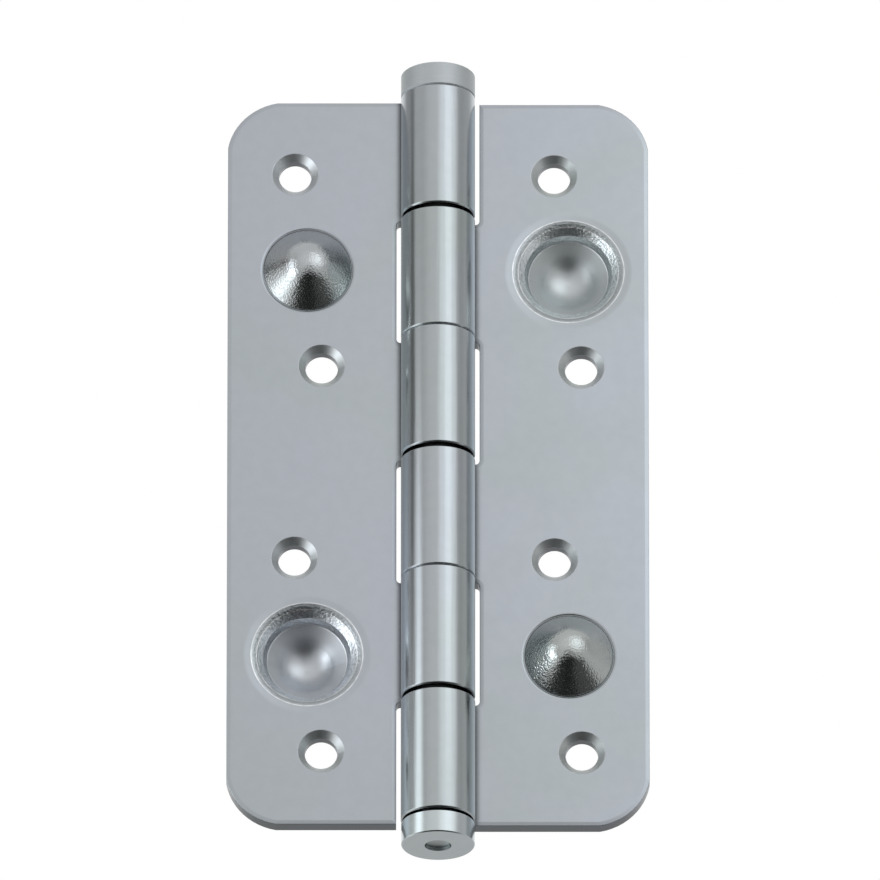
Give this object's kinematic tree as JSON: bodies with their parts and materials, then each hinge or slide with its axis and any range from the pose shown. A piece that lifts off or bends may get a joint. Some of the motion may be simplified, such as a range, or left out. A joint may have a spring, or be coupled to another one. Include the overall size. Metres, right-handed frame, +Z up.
{
  "type": "security door hinge",
  "caption": "Pressed steel door hinge with rolled knuckles on a headed pin, countersunk screw holes, and a dome on each leaf that enters a dish in the other leaf when closed.",
  "frame": {"origin": "on the pin's axis, at mid height of the leaves", "axes": "+Z up along the pin, +X to the right leaf, +Y through the leaves to their mounting side"},
  "size_m": [0.08, 0.0187, 0.16],
  "materials": {
    "plated_sheet": "satin zinc plate",
    "plated_bar": "turned, zinc plate"
  },
  "bodies": {
    "still_leaf": {"left_leaf": "plated_sheet", "hinge_pin": "plated_bar", "pin_cap": "plated_bar"},
    "swinging_leaf": {"right_leaf": "plated_sheet"}
  },
  "joints": [
    {"name": "leaf_swing", "type": "hinge", "parent": "still_leaf", "child": "swinging_leaf", "pos_m": [0, 0, 0], "axis": [0, 0, -1], "range_deg": [-105, 180]}
  ]
}
